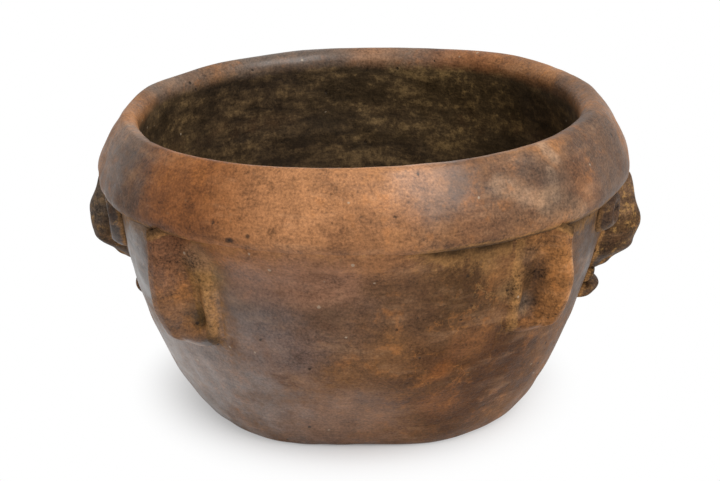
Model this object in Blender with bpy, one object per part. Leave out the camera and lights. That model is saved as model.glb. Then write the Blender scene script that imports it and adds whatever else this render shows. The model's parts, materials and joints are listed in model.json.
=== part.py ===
"""A hand-built earthenware bowl with a face modelled on two opposite sides of its wall.

The pieces are the lumps of clay that its potter joined: a floor pad, three wall courses, a thick
collar that is the brow of both faces, and the noses, eyes, lips and ears pressed on below it.
The middle of one face is at +X and of the other at -X, and the bowl stands on Z = 0.
Lengths are in metres and angles in radians.
"""

import math
from dataclasses import dataclass

import bmesh
import bpy
from mathutils import Vector
from mathutils.geometry import interpolate_bezier

# Vessel
COLLAR_RADIUS = 0.1050
HEIGHT = 0.1230
FOOT_RADIUS = 0.0625
FOOT_CURVE = 0.0084
SHOULDER_CURVE = 0.0435
WALL = 0.0090
FLOOR = 0.0100
FLOOR_CURVE = 0.0040
PAD_EDGE = 0.0060
SEAM_BEVEL = 0.0040
SEAM = 0.0003

# Collar, which laps over the top of the wall
COLLAR_OVERHANG = 0.0072
RIM_THICKNESS = 0.0185
COLLAR_DEPTH = 0.0280
COLLAR_LAP = 0.0030
COLLAR_ROLL = 0.0050
COLLAR_BELLY = 0.0060
LIP_REACH = 0.0058
LIP_DROP = 0.0052
LIP_CURVE = 0.0030

# Nose, hung from the collar
NOSE_LENGTH = 0.0395
NOSE_ROOT_STAND = 0.0096
RIGHT_NOSE_STAND = 0.0178
LEFT_NOSE_STAND = 0.0166
NOSE_ROOT_WIDTH = 0.0130
NOSE_WING_WIDTH = 0.0260
NOSE_SQUARENESS = 0.72

# Eyes, each a pellet dished by a fingertip
RIGHT_EYE_HEIGHT = 0.0175
LEFT_EYE_HEIGHT = 0.0250
EYE_WIDTH = 0.0180
EYE_TO_NOSE = 0.0080
EYE_STAND = 0.0056
EYE_DISH = 0.0026

# Lips
NOSE_TO_LIP = 0.0006
LIP_PARTING = 0.0006
UPPER_LIP_WIDTH = 0.0300
UPPER_LIP_HEIGHT = 0.0042
RIGHT_UPPER_LIP_STAND = 0.0044
LEFT_UPPER_LIP_STAND = 0.0036
LOWER_LIP_WIDTH = 0.0270
LOWER_LIP_HEIGHT = 0.0064
RIGHT_LOWER_LIP_STAND = 0.0080
LEFT_LOWER_LIP_STAND = 0.0062

# Ears, each a cupped lug with its flange towards the nose
RIGHT_EAR_LENGTH = 0.0390
LEFT_EAR_LENGTH = 0.0445
RIGHT_EAR_TURN = math.radians(50.8)
LEFT_EAR_TURN = math.radians(52)
EAR_WIDTH = 0.0240
EAR_FLANGE_TOP = 0.0078
EAR_FLANGE_STAND = 0.0112
EAR_HOLLOW_STAND = 0.0018
EAR_RIDGE_STAND = 0.0036
EAR_ROUNDNESS = 0.55

# Hand-built unevenness: a rim higher on one side and shifted to it, a plan between oval and square,
# and a foot flattened in front
RIM_TILT = 0.0034
RIM_TILT_GROWTH = 2.7
RIM_SHIFT = 0.0005
PLAN_OVAL = 0.0004
PLAN_SQUARE = 0.0008
FOOT_FLAT = 0.0075
FOOT_FLAT_TOP = 0.0450

RING_STEPS = 48
CURVE_SAMPLES = 240
COURSE_ROWS = 4

# Places that follow from the driving dimensions
SHOULDER_RADIUS = COLLAR_RADIUS - COLLAR_OVERHANG
MOUTH_RADIUS = COLLAR_RADIUS - RIM_THICKNESS
BROW = HEIGHT - COLLAR_DEPTH
WALL_TOP = BROW + COLLAR_LAP


@dataclass(frozen=True)
class Face:
    """One of the two faces: where its middle is, and the sizes that differ from the other's."""

    name: str
    middle: float
    ear_turn: float
    ear_length: float
    eye_height: float
    nose_stand: float
    upper_lip_stand: float
    lower_lip_stand: float


FACES = (
    Face(
        "right",
        0.0,
        RIGHT_EAR_TURN,
        RIGHT_EAR_LENGTH,
        RIGHT_EYE_HEIGHT,
        RIGHT_NOSE_STAND,
        RIGHT_UPPER_LIP_STAND,
        RIGHT_LOWER_LIP_STAND,
    ),
    Face(
        "left",
        math.pi,
        LEFT_EAR_TURN,
        LEFT_EAR_LENGTH,
        LEFT_EYE_HEIGHT,
        LEFT_NOSE_STAND,
        LEFT_UPPER_LIP_STAND,
        LEFT_LOWER_LIP_STAND,
    ),
)
# The front of the bowl is -Y, so a face's front side turns one way from +X and the other from -X.
FRONT_TURN = {"right": -1, "left": 1}

# Colours of the fired clay, and how rough its rubbed surface is
CLAYS = {
    "base_clay": ((0.150, 0.082, 0.048), 0.62),
    "wall_clay": ((0.190, 0.102, 0.060), 0.52),
    "collar_clay": ((0.330, 0.165, 0.084), 0.48),
    "face_clay": ((0.150, 0.080, 0.042), 0.58),
    "ear_clay": ((0.215, 0.104, 0.052), 0.55),
}


def clear_scene():
    """Remove whatever the open file holds."""
    for thing in list(bpy.data.objects):
        bpy.data.objects.remove(thing, do_unlink=True)


def clay_material(name):
    """The Principled material of one kind of clay, made once."""
    found = bpy.data.materials.get(name)
    if found:
        return found
    colour, roughness = CLAYS[name]
    material = bpy.data.materials.new(name)
    material.use_nodes = True
    shader = material.node_tree.nodes["Principled BSDF"]
    shader.inputs["Base Color"].default_value = (*colour, 1.0)
    shader.inputs["Roughness"].default_value = roughness
    shader.inputs["Metallic"].default_value = 0.0
    material.diffuse_color = (*colour, 1.0)
    return material


def bezier(start, leave, arrive, end, count):
    """Points of a cubic curve in the plane of radius and height."""
    return interpolate_bezier(Vector(start), Vector(leave), Vector(arrive), Vector(end), count)


def quarter_ellipse(start, corner, end, count):
    """Points from start to end of the quarter ellipse whose tangents meet at corner."""
    start, corner, end = Vector(start), Vector(corner), Vector(end)
    centre = start + end - corner
    turns = [math.pi / 2 * i / count for i in range(count + 1)]
    return [centre + (start - centre) * math.cos(t) + (end - centre) * math.sin(t) for t in turns]


def smooth_through(knots, place):
    """A value eased between knots, which are (place, value) pairs in order of place."""
    if place <= knots[0][0]:
        return knots[0][1]
    for (near, low), (far, high) in zip(knots, knots[1:]):
        if place <= far:
            share = (place - near) / (far - near)
            return low + (high - low) * share * share * (3 - 2 * share)
    return knots[-1][1]


def wall_curve(start, start_curve, radius):
    """One side of the wall, from a point low down to its top, where it stands upright."""
    start = Vector(start)
    top = Vector((radius, WALL_TOP))
    leave = start + Vector((start_curve, 0.0))
    return bezier(start, leave, top - Vector((0.0, SHOULDER_CURVE)), top, CURVE_SAMPLES)


OUTER_WALL = wall_curve((FOOT_RADIUS, 0.0), FOOT_CURVE, SHOULDER_RADIUS)
INNER_WALL = wall_curve((FOOT_RADIUS, FLOOR), FLOOR_CURVE, SHOULDER_RADIUS - WALL)


def wall_point(curve, height):
    """The (radius, height) point of one side of the wall at a height."""
    for low, high in zip(curve, curve[1:]):
        if height <= high.y:
            share = (height - low.y) / (high.y - low.y)
            return low.lerp(high, max(share, 0.0))
    return curve[-1]


def wall_radius(height):
    """The radius of the outside of the wall at a height."""
    return wall_point(OUTER_WALL, height).x


def uneven(point):
    """A point of the true round bowl, moved to where the hand-built bowl has it."""
    radius = math.hypot(point.x, point.y)
    if radius == 0.0:
        return point
    angle = math.atan2(point.y, point.x)
    rise = min(max(point.z, 0.0) / HEIGHT, 1.0)
    plan = -(PLAN_OVAL * math.cos(2 * angle) + PLAN_SQUARE * math.cos(4 * angle)) * rise / COLLAR_RADIUS
    flattened = smooth_through(((FLOOR, FOOT_FLAT), (FOOT_FLAT_TOP, 0.0)), point.z)
    flat = flattened * max(0.0, -math.sin(angle)) ** 3 / FOOT_RADIUS
    lift = RIM_TILT * rise**RIM_TILT_GROWTH * point.x / COLLAR_RADIUS
    out = 1 + plan - flat
    return Vector((point.x * out + RIM_SHIFT * rise, point.y * out, point.z + lift))


def finish(name, shape, clay):
    """Settle a shape into the hand-built form and make it a named object."""
    for vert in shape.verts:
        vert.co = uneven(vert.co)
    bmesh.ops.recalc_face_normals(shape, faces=shape.faces)
    mesh = bpy.data.meshes.new(name)
    shape.to_mesh(mesh)
    shape.free()
    mesh.shade_smooth()
    mesh.set_sharp_from_angle(angle=math.radians(40))
    mesh.materials.append(clay_material(clay))
    piece = bpy.data.objects.new(name, mesh)
    bpy.context.scene.collection.objects.link(piece)
    return piece


def turned(name, outline, clay, closed):
    """A ring turned from an outline of (radius, height) points, or a disc where the ends are on the axis."""
    shape = bmesh.new()
    verts = [shape.verts.new((p[0], 0.0, p[1])) for p in outline]
    pairs = list(zip(verts, verts[1:]))
    if closed:
        pairs.append((verts[-1], verts[0]))
    edges = [shape.edges.new(pair) for pair in pairs]
    bmesh.ops.spin(
        shape,
        geom=verts + edges,
        cent=(0.0, 0.0, 0.0),
        axis=(0.0, 0.0, 1.0),
        angle=2 * math.pi,
        steps=RING_STEPS,
        use_merge=True,
    )
    bmesh.ops.remove_doubles(shape, verts=shape.verts, dist=SEAM / 100)
    return finish(name, shape, clay)


def floor_pad():
    """The flat pad of clay that the bowl stands on, with the seat of the first course round its edge."""
    heights = [PAD_EDGE * (i / COURSE_ROWS) ** 2 for i in range(COURSE_ROWS + 1)]
    edge = [wall_point(OUTER_WALL, height) for height in heights]
    outline = [(0.0, 0.0), *edge, INNER_WALL[0], (0.0, FLOOR)]
    return turned("floor_pad", outline, "base_clay", closed=False)


def wall_courses():
    """The courses of the wall, each seated on the bevelled top of the one below it."""
    names = ("lower_wall", "middle_wall", "upper_wall")
    course = (WALL_TOP - PAD_EDGE) / len(names)
    steps = [i / COURSE_ROWS for i in range(COURSE_ROWS + 1)]
    for index, name in enumerate(names):
        low = PAD_EDGE + course * index + SEAM
        high = PAD_EDGE + course * (index + 1)
        inner_low = low + SEAM_BEVEL if index else FLOOR + SEAM
        inner_high = high + SEAM_BEVEL if name != names[-1] else high
        outside = [wall_point(OUTER_WALL, low + (high - low) * s) for s in steps]
        inside = [wall_point(INNER_WALL, inner_high + (inner_low - inner_high) * s) for s in steps]
        turned(name, outside + inside, "wall_clay", closed=True)


def collar():
    """The thick coil over the top of the wall: a leaning band with a round lip and an overhanging roll."""
    inner_seat = (SHOULDER_RADIUS - WALL, WALL_TOP + SEAM)
    outer_seat = (SHOULDER_RADIUS + SEAM, WALL_TOP + SEAM)
    lap = (SHOULDER_RADIUS + SEAM, BROW)
    mouth = (MOUTH_RADIUS, HEIGHT - LIP_DROP)
    crest = (MOUTH_RADIUS + LIP_REACH, HEIGHT)
    widest = (COLLAR_RADIUS, BROW + COLLAR_ROLL)
    underside = ((COLLAR_RADIUS + SHOULDER_RADIUS) / 2, BROW)
    lip = quarter_ellipse(mouth, (mouth[0], crest[1]), crest, 4)
    leave = (crest[0] + LIP_CURVE, crest[1])
    arrive = (widest[0], widest[1] + COLLAR_BELLY)
    band = bezier(crest, leave, arrive, widest, 8)
    roll = quarter_ellipse(widest, (widest[0], underside[1]), underside, 4)
    outline = [inner_seat, *lip, *band[1:], *roll[1:], lap, outer_seat]
    return turned("collar", outline, "collar_clay", closed=True)


def rounded(across, down, roundness):
    """A point of the square from -1 to 1, drawn in towards the disc: 0 keeps the square, 1 makes the disc."""
    return (
        across * math.sqrt(1 - roundness * down * down / 2),
        down * math.sqrt(1 - roundness * across * across / 2),
    )


def on_wall(middle, across, drop, stand):
    """A point this far across from an angle, below the brow and out from the wall."""
    height = BROW - SEAM - drop
    radius = wall_radius(height)
    angle = middle + across / radius
    out = radius + SEAM + stand
    return Vector((out * math.cos(angle), out * math.sin(angle), height))


def pressed_on(name, clay, middle, spot, stand, columns, rows):
    """A lump pressed on the wall at an angle.

    spot gives the distance across and down for a place in the square from -1 to 1, and stand gives how
    far the lump stands out there.
    """
    shape = bmesh.new()
    bmesh.ops.create_grid(shape, x_segments=columns, y_segments=rows, size=1.0)
    places = {vert: (vert.co.x, -vert.co.y) for vert in shape.verts}
    back = list(shape.verts)
    grown = bmesh.ops.duplicate(shape, geom=shape.verts[:] + shape.edges[:] + shape.faces[:])
    front = [grown["vert_map"][vert] for vert in back]
    for behind, ahead in zip(back, front):
        place = places[behind]
        behind.co = on_wall(middle, *spot(*place), 0.0)
        ahead.co = on_wall(middle, *spot(*place), stand(*place))
    rim = [edge for edge in shape.edges if edge.is_boundary]
    bmesh.ops.bridge_loops(shape, edges=rim)
    return finish(name, shape, clay)


def nose(face):
    """A wedge from the collar down to the mouth: a straight ridge, a round tip and wide wings."""
    wing = 0.72 * NOSE_LENGTH
    ridge = (
        (0.0, NOSE_ROOT_STAND),
        (0.56 * NOSE_LENGTH, face.nose_stand),
        (0.70 * NOSE_LENGTH, 0.96 * face.nose_stand),
        (0.91 * NOSE_LENGTH, 0.54 * face.nose_stand),
        (NOSE_LENGTH, SEAM),
    )
    half_width = (
        (0.0, NOSE_ROOT_WIDTH / 2),
        (wing, NOSE_WING_WIDTH / 2),
        (NOSE_LENGTH, NOSE_ROOT_WIDTH / 3),
    )

    def spot(u, v):
        drop = NOSE_LENGTH * (v + 1) / 2
        return u * smooth_through(half_width, drop), drop

    def stand(u, v):
        drop = NOSE_LENGTH * (v + 1) / 2
        return SEAM + smooth_through(ridge, drop) * (1 - u * u) ** NOSE_SQUARENESS

    return pressed_on(f"{face.name}_nose", "face_clay", face.middle, spot, stand, 8, 12)


def eye(face, side, label):
    """An oval pellet under the collar, dished in the middle so that it has a raised lid all round."""
    drop = face.eye_height / 2
    away = NOSE_WING_WIDTH / 2 + EYE_TO_NOSE + EYE_WIDTH / 2
    middle = face.middle + side * away / wall_radius(BROW - drop)
    profile = ((0.0, EYE_STAND - EYE_DISH), (0.62, EYE_STAND), (1.0, SEAM))

    def spot(u, v):
        a, b = rounded(u, v, 1.0)
        return a * EYE_WIDTH / 2, drop + b * face.eye_height / 2

    def stand(u, v):
        return smooth_through(profile, math.hypot(*rounded(u, v, 1.0)))

    return pressed_on(f"{face.name}_{label}_eye", "face_clay", middle, spot, stand, 8, 8)


def lip(face, label, width, height, reach, drop):
    """One lip: a short roll across the face."""

    def spot(u, v):
        a, b = rounded(u, v, 1.0)
        return a * width / 2, drop + b * height / 2

    def stand(u, v):
        return SEAM + reach * math.sqrt(max(0.0, 1 - math.hypot(*rounded(u, v, 1.0)) ** 2))

    return pressed_on(f"{face.name}_{label}_lip", "face_clay", face.middle, spot, stand, 8, 6)


def lips(face):
    """The two lips, hung one below the other under the nose."""
    upper_drop = NOSE_LENGTH + NOSE_TO_LIP + UPPER_LIP_HEIGHT / 2
    lower_drop = upper_drop + UPPER_LIP_HEIGHT / 2 + LIP_PARTING + LOWER_LIP_HEIGHT / 2
    lip(face, "upper", UPPER_LIP_WIDTH, UPPER_LIP_HEIGHT, face.upper_lip_stand, upper_drop)
    lip(face, "lower", LOWER_LIP_WIDTH, LOWER_LIP_HEIGHT, face.lower_lip_stand, lower_drop)


def ear(face, side, label):
    """A cupped lug under the collar: a high flange towards the nose, a hollow, and a low ridge behind it."""
    middle = face.middle + side * face.ear_turn

    def local(u, v):
        return rounded(u, v, EAR_ROUNDNESS)

    def spot(u, v):
        a, b = local(u, v)
        top = (1 + v) / 2
        return -side * a * EAR_WIDTH / 2, face.ear_length * (top * (1 + b) / 2 + (1 - top) * (1 + v) / 2)

    def stand(u, v):
        flange = smooth_through(((-1, EAR_FLANGE_TOP), (0.25, EAR_FLANGE_STAND), (1, 0.55 * EAR_FLANGE_STAND)), v)
        section = (
            (-1.0, SEAM),
            (-0.72, EAR_RIDGE_STAND),
            (-0.20, EAR_HOLLOW_STAND),
            (0.88, flange),
            (1.0, SEAM),
        )
        end = smooth_through(((0.72, 1.0), (1.0, 0.0)), v)
        return SEAM + smooth_through(section, u) * end

    return pressed_on(f"{face.name}_{label}_ear", "ear_clay", middle, spot, stand, 12, 10)


def face_pieces(face):
    """Everything pressed on the wall for one face."""
    nose(face)
    lips(face)
    front = FRONT_TURN[face.name]
    for side, label in ((front, "front"), (-front, "back")):
        eye(face, side, label)
        ear(face, side, label)


def main():
    """Build the bowl, piece by piece, from the floor up."""
    clear_scene()
    floor_pad()
    wall_courses()
    collar()
    for face in FACES:
        face_pieces(face)


main()
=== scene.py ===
"""Dressed scene of a hand-built earthenware bowl with a face pressed on two opposite sides.

The bowl stands on Z = 0 with the middle of one face at +X, of the other at -X, and its front at -Y.
Lengths are in metres. Small pieces are modelled flat, as on a potter's board, and then pressed on the wall.
"""

from __future__ import annotations

import json
import logging
import math
from dataclasses import dataclass
from enum import Enum
from typing import Any, Sequence

import bpy
import numpy as np
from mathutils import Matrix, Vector

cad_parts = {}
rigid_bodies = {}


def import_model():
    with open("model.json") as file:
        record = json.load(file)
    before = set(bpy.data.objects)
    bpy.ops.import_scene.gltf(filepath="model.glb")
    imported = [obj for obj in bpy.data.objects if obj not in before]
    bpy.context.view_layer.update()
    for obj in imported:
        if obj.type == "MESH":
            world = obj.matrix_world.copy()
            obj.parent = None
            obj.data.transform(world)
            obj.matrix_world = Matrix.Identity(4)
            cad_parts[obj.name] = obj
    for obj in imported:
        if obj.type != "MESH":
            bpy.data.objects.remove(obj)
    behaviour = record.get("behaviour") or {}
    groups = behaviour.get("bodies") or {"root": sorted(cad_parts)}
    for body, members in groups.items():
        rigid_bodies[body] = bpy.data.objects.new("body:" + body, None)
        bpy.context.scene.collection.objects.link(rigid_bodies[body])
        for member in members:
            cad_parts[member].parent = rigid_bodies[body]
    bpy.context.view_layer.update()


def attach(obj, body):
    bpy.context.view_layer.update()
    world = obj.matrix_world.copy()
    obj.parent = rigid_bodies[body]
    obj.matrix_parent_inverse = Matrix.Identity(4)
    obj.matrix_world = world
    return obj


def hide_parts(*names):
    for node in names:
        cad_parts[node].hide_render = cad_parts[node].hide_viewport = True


LOG = logging.getLogger("face_bowl")
Knots = Sequence[tuple[float, float]]
Place = tuple[float, float, float]
Colour = tuple[float, float, float]

CENTRE: Place = (0.0, 0.0, 0.0)
WHITE: Colour = (1.0, 1.0, 1.0)
CURVE_POINTS = 400
LUMP_WAVES = 9
LUMP_SPREAD = 3.2


def eased(knots: Knots, places: np.ndarray) -> np.ndarray:
    """Values eased between knots.

    Args:
        knots: (place, value) pairs in order of place.
        places: where the values are wanted.

    Returns:
        The value at each place, level at every knot and held beyond the ends.
    """
    where = np.array([knot[0] for knot in knots])
    value = np.array([knot[1] for knot in knots])
    index = np.clip(np.searchsorted(where, places, side="right") - 1, 0, len(where) - 2)
    share = np.clip((places - where[index]) / (where[index + 1] - where[index]), 0.0, 1.0)
    return value[index] + (value[index + 1] - value[index]) * share * share * (3 - 2 * share)


def bezier(start: Vector, leave: Vector, arrive: Vector, end: Vector, count: int) -> np.ndarray:
    """Points of a cubic curve, one row each.

    Args:
        start: first point.
        leave: handle at the first point.
        arrive: handle at the last point.
        end: last point.
        count: number of points.

    Returns:
        An array of (radius, height) rows.
    """
    t = np.linspace(0.0, 1.0, count)[:, None]
    corners = [np.array(point) for point in (start, leave, arrive, end)]
    weights = ((1 - t) ** 3, 3 * (1 - t) ** 2 * t, 3 * (1 - t) * t**2, t**3)
    return sum(weight * corner for weight, corner in zip(weights, corners))


def lumps(points: np.ndarray, size: float, seed: int) -> np.ndarray:
    """Smooth unevenness from about -1 to 1, as a hand leaves it.

    Args:
        points: one row of x, y and z for each point.
        size: how far it is from one lump to the next hollow.
        seed: which of many surfaces.

    Returns:
        The unevenness at each point.
    """
    chance = np.random.default_rng(seed)
    total = np.zeros(len(points))
    for _ in range(LUMP_WAVES):
        lean = chance.normal(size=3)
        lean *= math.pi / size * chance.uniform(0.6, 1.3) / np.linalg.norm(lean)
        total += np.sin(points @ lean + chance.uniform(0.0, 2 * math.pi))
    return total / LUMP_SPREAD


class Bench:
    """The modelling bench: small steps with Blender's own operators."""

    @staticmethod
    def clear() -> None:
        """Leave edit mode and let go of everything."""
        if bpy.context.object and bpy.context.object.mode != "OBJECT":
            Bench.leave()
        bpy.ops.object.select_all(action="DESELECT")

    @staticmethod
    def hold(piece: bpy.types.Object) -> None:
        """Let go of everything else and make this the selected and active piece."""
        Bench.clear()
        piece.select_set(True)
        bpy.context.view_layer.objects.active = piece

    @staticmethod
    def leave() -> None:
        """Leave edit mode."""
        bpy.ops.object.mode_set(mode="OBJECT")

    @staticmethod
    def take(name: str) -> bpy.types.Object:
        """Name the primitive that was just added, and return it."""
        piece = bpy.context.object
        piece.name = name
        piece.data.name = name
        return piece

    @staticmethod
    def points(piece: bpy.types.Object) -> np.ndarray:
        """The piece's vertices, one row each."""
        flat = np.empty(len(piece.data.vertices) * 3)
        piece.data.vertices.foreach_get("co", flat)
        return flat.reshape(-1, 3)

    @staticmethod
    def place(piece: bpy.types.Object, points: np.ndarray) -> None:
        """Put the piece's vertices where the rows say."""
        piece.data.vertices.foreach_set("co", np.ascontiguousarray(points, dtype=np.float32).ravel())
        piece.data.update()

    @staticmethod
    def refine(piece: bpy.types.Object, levels: int) -> None:
        """Round the piece with applied subdivision."""
        modifier = piece.modifiers.new("Subsurf", "SUBSURF")
        modifier.levels = levels
        modifier.render_levels = levels
        bpy.context.view_layer.objects.active = piece
        bpy.ops.object.modifier_apply(modifier=modifier.name)

    @staticmethod
    def edit(piece: bpy.types.Object, mode: str = "VERT") -> None:
        """Open the piece in edit mode with all of it selected."""
        Bench.hold(piece)
        bpy.ops.object.mode_set(mode="EDIT")
        bpy.ops.mesh.select_mode(type=mode)
        bpy.ops.mesh.select_all(action="SELECT")

    @staticmethod
    def close(piece: bpy.types.Object) -> None:
        """Merge doubles, fill what is open and turn every face outwards."""
        Bench.edit(piece)
        bpy.ops.mesh.remove_doubles(threshold=1e-6)
        bpy.ops.mesh.fill_holes(sides=0)
        bpy.ops.mesh.select_all(action="SELECT")
        bpy.ops.mesh.normals_make_consistent(inside=False)
        Bench.leave()

    @staticmethod
    def smooth(piece: bpy.types.Object) -> None:
        """Shade the piece smooth."""
        Bench.hold(piece)
        bpy.ops.object.shade_smooth()
        piece.select_set(False)

    @staticmethod
    def mark(piece: bpy.types.Object, name: str, values: np.ndarray) -> None:
        """Keep one number per vertex for the finish to read."""
        layer = piece.data.attributes.new(name, "FLOAT", "POINT")
        layer.data.foreach_set("value", np.clip(values, 0.0, 1.0).astype(np.float32))


@dataclass(frozen=True)
class BowlForm:
    """The round form that every piece follows, and the unevenness of hand building."""

    height: float = 0.1230
    collar_radius: float = 0.1050
    collar_depth: float = 0.0280
    overhang: float = 0.0072
    rim_thickness: float = 0.0185
    lap: float = 0.0030
    foot_radius: float = 0.0625
    foot_curve: float = 0.0084
    shoulder_curve: float = 0.0435
    wall: float = 0.0090
    floor: float = 0.0100
    floor_curve: float = 0.0040
    rim_tilt: float = 0.0034
    tilt_growth: float = 2.7
    rim_shift: float = 0.0005
    plan_oval: float = 0.0004
    plan_square: float = 0.0008
    foot_flat: float = 0.0075
    foot_flat_top: float = 0.0450
    foot_flat_turn: float = math.radians(4)
    foot_flat_sharpness: float = 10.0
    dent: float = 0.0006
    dent_size: float = 0.026
    ripple: float = 0.00016
    ripple_size: float = 0.0065
    dent_seed: int = 31
    ripple_seed: int = 84
    rim_wave: float = 0.6
    still_radius: float = 0.0300
    smear_middle: float = math.radians(-11)
    smear_full: float = math.radians(16)
    smear_end: float = math.radians(31)

    @property
    def shoulder_radius(self) -> float:
        """Outside of the wall under the collar."""
        return self.collar_radius - self.overhang

    @property
    def mouth_radius(self) -> float:
        """Inside of the lip."""
        return self.collar_radius - self.rim_thickness

    @property
    def brow(self) -> float:
        """Height of the collar's lower edge."""
        return self.height - self.collar_depth

    @property
    def wall_top(self) -> float:
        """Height of the wall's top, inside the collar."""
        return self.brow + self.lap

    def curve(self, bottom: float, bend: float, inset: float) -> np.ndarray:
        """One side of the wall from its bottom up.

        Args:
            bottom: the height where it starts.
            bend: how far it runs outwards before it climbs.
            inset: how far in it is from the outside at the top.

        Returns:
            The (radius, height) rows.
        """
        foot = Vector((self.foot_radius, bottom))
        top = Vector((self.shoulder_radius - inset, self.wall_top))
        arrive = top - Vector((0.0, self.shoulder_curve))
        return bezier(foot, foot + Vector((bend, 0.0)), arrive, top, CURVE_POINTS)

    def outer_curve(self) -> np.ndarray:
        """The outside of the wall from the foot up, as (radius, height) rows."""
        return self.curve(0.0, self.foot_curve, 0.0)

    def inner_curve(self) -> np.ndarray:
        """The inside of the wall from the floor up, as (radius, height) rows."""
        return self.curve(self.floor, self.floor_curve, self.wall)

    def outer_radius(self, heights: np.ndarray) -> np.ndarray:
        """Radius of the outside of the wall at each height."""
        radius, height = self.outer_curve().T
        return np.interp(heights, height, radius)

    def inner_radius(self, heights: np.ndarray) -> np.ndarray:
        """Radius of the inside of the wall at each height."""
        radius, height = self.inner_curve().T
        return np.interp(heights, height, radius)

    def wiped(self, points: np.ndarray) -> np.ndarray:
        """How far the join of wall and collar was wiped smooth, in front and behind: 0 to 1."""
        x, y, _ = points.T
        off = np.abs(np.arctan2(x, np.abs(y)) - self.smear_middle)
        return 1 - eased(((self.smear_full, 0.0), (self.smear_end, 1.0)), off)

    def settle(self, points: np.ndarray) -> np.ndarray:
        """Move points of the true round bowl to where the hand-built bowl has them.

        Args:
            points: one row of x, y and z for each point.

        Returns:
            The moved points. The foot stays on its plane.
        """
        x, y, z = points.T
        angle = np.arctan2(y, x)
        radius = np.maximum(np.hypot(x, y), 1e-9)
        rise = np.clip(z / self.height, 0.0, 1.0)
        plan = self.plan_oval * np.cos(2 * angle) + self.plan_square * np.cos(4 * angle)
        flat = eased(((self.floor, self.foot_flat), (self.foot_flat_top, 0.0)), z)
        facing = np.maximum(0.0, -np.sin(angle - self.foot_flat_turn))
        flat = flat * facing**self.foot_flat_sharpness / self.foot_radius
        lift = self.rim_tilt * rise**self.tilt_growth * x / self.collar_radius
        dents = self.dent * lumps(points, self.dent_size, self.dent_seed)
        ripples = self.ripple * lumps(points, self.ripple_size, self.ripple_seed)
        share = np.minimum(radius / self.still_radius, 1.0)
        out = 1 - plan * rise / self.collar_radius - flat + (dents + ripples) * share / radius
        wave = self.rim_wave * dents * rise**3
        return np.stack([x * out + self.rim_shift * rise, y * out, z + lift + wave], axis=1)


@dataclass(frozen=True)
class FacePlace:
    """Where one of the two faces is, and the sizes that differ from the other's."""

    name: str
    middle: float
    front: int
    ear_turn: float
    ear_length: float
    ear_width: float
    ear_ridge: float
    ear_skew: float
    eye_height: float
    eye_away: float
    nose_stand: float
    nose_length: float
    upper_lip: float
    lower_lip: float


FACES = (
    FacePlace(
        name="right",
        middle=0.0,
        front=-1,
        ear_turn=math.radians(49.9),
        ear_length=0.0390,
        ear_width=0.0212,
        ear_ridge=0.0032,
        ear_skew=0.0020,
        eye_height=0.0175,
        eye_away=0.0300,
        nose_stand=0.0187,
        nose_length=0.0434,
        upper_lip=0.0044,
        lower_lip=0.0080,
    ),
    FacePlace(
        name="left",
        middle=math.pi,
        front=1,
        ear_turn=math.radians(52.0),
        ear_length=0.0445,
        ear_width=0.0240,
        ear_ridge=0.0038,
        ear_skew=0.0042,
        eye_height=0.0250,
        eye_away=0.0255,
        nose_stand=0.0172,
        nose_length=0.0400,
        upper_lip=0.0036,
        lower_lip=0.0046,
    ),
)


class Side(Enum):
    """Which side of a face a piece is on, seen with the bowl's front towards the viewer."""

    FRONT = "front"
    BACK = "back"


def side_turn(face: FacePlace, side: Side) -> int:
    """The sense in which a side of a face turns about the bowl: 1 or -1."""
    return face.front if side is Side.FRONT else -face.front


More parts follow.
